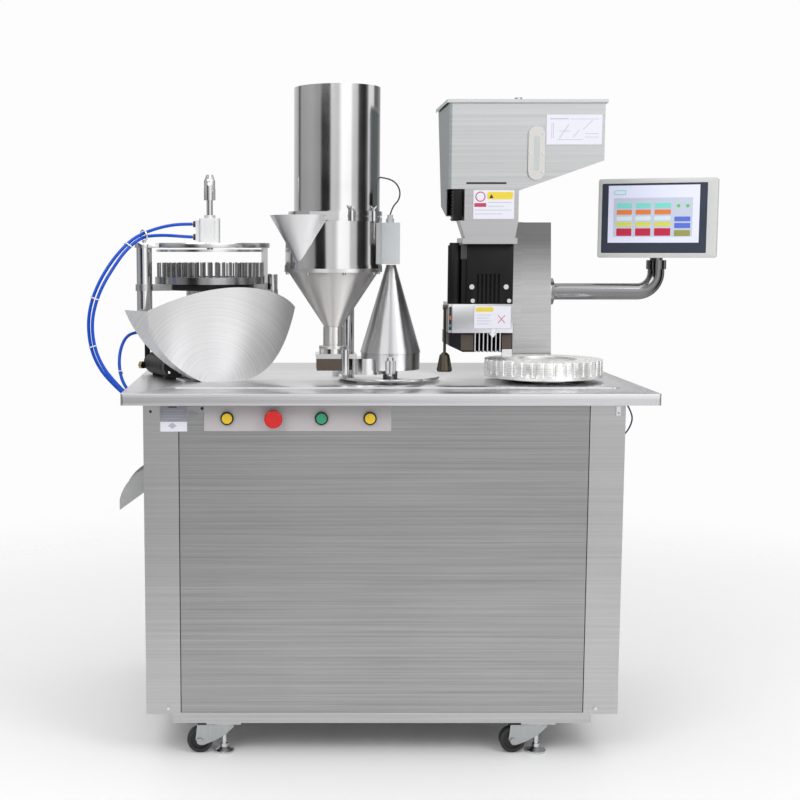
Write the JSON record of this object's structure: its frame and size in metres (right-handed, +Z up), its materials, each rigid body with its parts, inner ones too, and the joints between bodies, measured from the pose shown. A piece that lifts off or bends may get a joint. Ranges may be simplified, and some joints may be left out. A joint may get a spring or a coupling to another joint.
{
  "type": "capsule filler",
  "caption": "Semi-automatic capsule filler: steel cabinet on casters with locking station, auger powder head, capsule loading hopper and touch screen arm.",
  "frame": {"origin": "centre of the rigid machine's bounding box, at the floor", "axes": "+X to the operator's right, +Y to the back of the machine, +Z up"},
  "size_m": [1.5699, 0.83, 1.55],
  "materials": {
    "cabinet_steel": "horizontally brushed",
    "table_steel": "horizontally brushed, bright",
    "polished_steel": "mirror polished",
    "satin_steel": "fine satin",
    "scoop_steel": "brushed in arcs about its foot",
    "hopper_steel": "light grey brushed",
    "ring_aluminium": "machined, bright",
    "block_aluminium": "machined satin",
    "zinc": "bright zinc plate",
    "black_plastic": "black, slightly worn",
    "comb_plastic": "blue black",
    "motor_paint": "satin grey",
    "plate_paint": "pale printed plates",
    "box_paint": "light grey",
    "bezel_black": "gloss black",
    "yellow_plastic": "gloss yellow",
    "red_plastic": "gloss red",
    "green_plastic": "gloss green",
    "wheel_rubber": "black",
    "bronze_grip": "bronze grey, polished",
    "screen_frame": "light grey",
    "screen_glass": "lit touch screen, pale",
    "hose_blue": "royal blue",
    "cable_black": "black",
    "wire_blue": "dark blue"
  },
  "bodies": {
    "cabinet": {"base_frame": "cabinet_steel", "frame_members": "cabinet_steel", "front_panel": "cabinet_steel", "side_panels": "cabinet_steel", "tabletop": "table_steel", "faceplates": "plate_paint", "button_bezels": "bezel_black", "outlet_chute": "satin_steel", "levelling_feet": "zinc", "gear_motors": "motor_paint", "vacuum_pump": "motor_paint", "electrical_box": "box_paint", "lock_pedestal": "satin_steel", "lock_posts": "polished_steel", "lock_top_plate": "satin_steel", "lock_cylinder": "satin_steel", "pin_ring": "satin_steel", "scoop": "scoop_steel", "valve_block": "black_plastic", "motor_cover": "polished_steel", "powder_chamber": "polished_steel", "powder_cone": "polished_steel", "filling_stand": "polished_steel", "level_box": "box_paint", "dosing_cone": "polished_steel", "hopper": "hopper_steel", "throat": "hopper_steel", "magazine": "black_plastic", "rectifier": "block_aluminium", "column": "hopper_steel", "hmi_pipe": "satin_steel", "fasteners": "zinc", "air_hose_upper": "hose_blue", "air_hose_lower": "hose_blue", "air_hose_valve": "hose_blue", "motor_cable": "cable_black", "earth_wire": "wire_blue"},
    "rear_door": {"rear_door": "cabinet_steel"},
    "press_rod": {"press_rod": "satin_steel"},
    "auger": {"auger": "satin_steel"},
    "filling_disc": {"filling_disc": "polished_steel"},
    "hopper_lid": {"hopper_lid": "hopper_steel"},
    "pusher_comb": {"pusher_comb": "comb_plastic"},
    "loading_lever": {"loading_lever": "bronze_grip"},
    "mould_turntable": {"mould_turntable": "satin_steel", "mould_ring": "ring_aluminium"},
    "touch_screen": {"hmi_housing": "screen_frame", "hmi_screen": "screen_glass"},
    "button_yellow_left": {"button_yellow_left": "yellow_plastic"},
    "button_red": {"button_red": "red_plastic"},
    "button_green": {"button_green": "green_plastic"},
    "button_yellow_right": {"button_yellow_right": "yellow_plastic"},
    "caster_fork_front_left": {"caster_fork_front_left": "zinc"},
    "caster_wheel_front_left": {"caster_wheel_front_left": "wheel_rubber"},
    "caster_fork_rear_left": {"caster_fork_rear_left": "zinc"},
    "caster_wheel_rear_left": {"caster_wheel_rear_left": "wheel_rubber"},
    "caster_fork_front_right": {"caster_fork_front_right": "zinc"},
    "caster_wheel_front_right": {"caster_wheel_front_right": "wheel_rubber"},
    "caster_fork_rear_right": {"caster_fork_rear_right": "zinc"},
    "caster_wheel_rear_right": {"caster_wheel_rear_right": "wheel_rubber"}
  },
  "joints": [
    {"name": "door_hinge", "type": "hinge", "parent": "cabinet", "child": "rear_door", "pos_m": [-0.58569, 0.381, 0.44], "axis": [0, 0, 1], "range_deg": [0, 110]},
    {"name": "press_slide", "type": "slide", "parent": "cabinet", "child": "press_rod", "axis": [0, 0, -1], "range_m": [0, 0.022]},
    {"name": "auger_spin", "type": "hinge", "parent": "cabinet", "child": "auger", "pos_m": [-0.23169, -0.105, 1.09], "axis": [0, 0, 1], "continuous": true},
    {"name": "filling_disc_spin", "type": "hinge", "parent": "cabinet", "child": "filling_disc", "pos_m": [-0.09369, -0.09, 0.859], "axis": [0, 0, 1], "continuous": true},
    {"name": "mould_turntable_spin", "type": "hinge", "parent": "cabinet", "child": "mould_turntable", "pos_m": [0.28031, -0.11, 0.859], "axis": [0, 0, 1], "continuous": true},
    {"name": "lid_hinge", "type": "hinge", "parent": "cabinet", "child": "hopper_lid", "pos_m": [0.22381, 0.102, 1.5183], "axis": [-1, 0, 0], "range_deg": [0, 100]},
    {"name": "pusher_slide", "type": "slide", "parent": "cabinet", "child": "pusher_comb", "axis": [0, 1, 0], "range_m": [0, 0.02]},
    {"name": "lever_hinge", "type": "hinge", "parent": "cabinet", "child": "loading_lever", "pos_m": [0.03781, -0.125, 1.03], "axis": [1, 0, 0], "range_deg": [-20, 20]},
    {"name": "screen_swivel", "type": "hinge", "parent": "cabinet", "child": "touch_screen", "pos_m": [0.60231, 0.088, 1.147], "axis": [0, 0, 1], "range_deg": [-60, 60]},
    {"name": "button_yellow_left_press", "type": "slide", "parent": "cabinet", "child": "button_yellow_left", "axis": [0, 1, 0], "range_m": [0, 0.003], "stiffness_N_per_m": 300},
    {"name": "button_red_press", "type": "slide", "parent": "cabinet", "child": "button_red", "axis": [0, 1, 0], "range_m": [0, 0.005]},
    {"name": "button_green_press", "type": "slide", "parent": "cabinet", "child": "button_green", "axis": [0, 1, 0], "range_m": [0, 0.003], "stiffness_N_per_m": 300},
    {"name": "button_yellow_right_press", "type": "slide", "parent": "cabinet", "child": "button_yellow_right", "axis": [0, 1, 0], "range_m": [0, 0.003], "stiffness_N_per_m": 300},
    {"name": "caster_swivel_front_left", "type": "hinge", "parent": "cabinet", "child": "caster_fork_front_left", "pos_m": [-0.49069, -0.335, 0.071], "axis": [0, 0, 1], "continuous": true},
    {"name": "caster_roll_front_left", "type": "hinge", "parent": "caster_fork_front_left", "child": "caster_wheel_front_left", "pos_m": [-0.54669, -0.335, 0.031], "axis": [0, 1, 0], "continuous": true},
    {"name": "caster_swivel_rear_left", "type": "hinge", "parent": "cabinet", "child": "caster_fork_rear_left", "pos_m": [-0.49069, 0.335, 0.071], "axis": [0, 0, 1], "continuous": true},
    {"name": "caster_roll_rear_left", "type": "hinge", "parent": "caster_fork_rear_left", "child": "caster_wheel_rear_left", "pos_m": [-0.54669, 0.335, 0.031], "axis": [0, 1, 0], "continuous": true},
    {"name": "caster_swivel_front_right", "type": "hinge", "parent": "cabinet", "child": "caster_fork_front_right", "pos_m": [0.23831, -0.335, 0.071], "axis": [0, 0, 1], "continuous": true},
    {"name": "caster_roll_front_right", "type": "hinge", "parent": "caster_fork_front_right", "child": "caster_wheel_front_right", "pos_m": [0.18231, -0.335, 0.031], "axis": [0, 1, 0], "continuous": true},
    {"name": "caster_swivel_rear_right", "type": "hinge", "parent": "cabinet", "child": "caster_fork_rear_right", "pos_m": [0.23831, 0.335, 0.071], "axis": [0, 0, 1], "continuous": true},
    {"name": "caster_roll_rear_right", "type": "hinge", "parent": "caster_fork_rear_right", "child": "caster_wheel_rear_right", "pos_m": [0.18231, 0.335, 0.031], "axis": [0, 1, 0], "continuous": true}
  ]
}
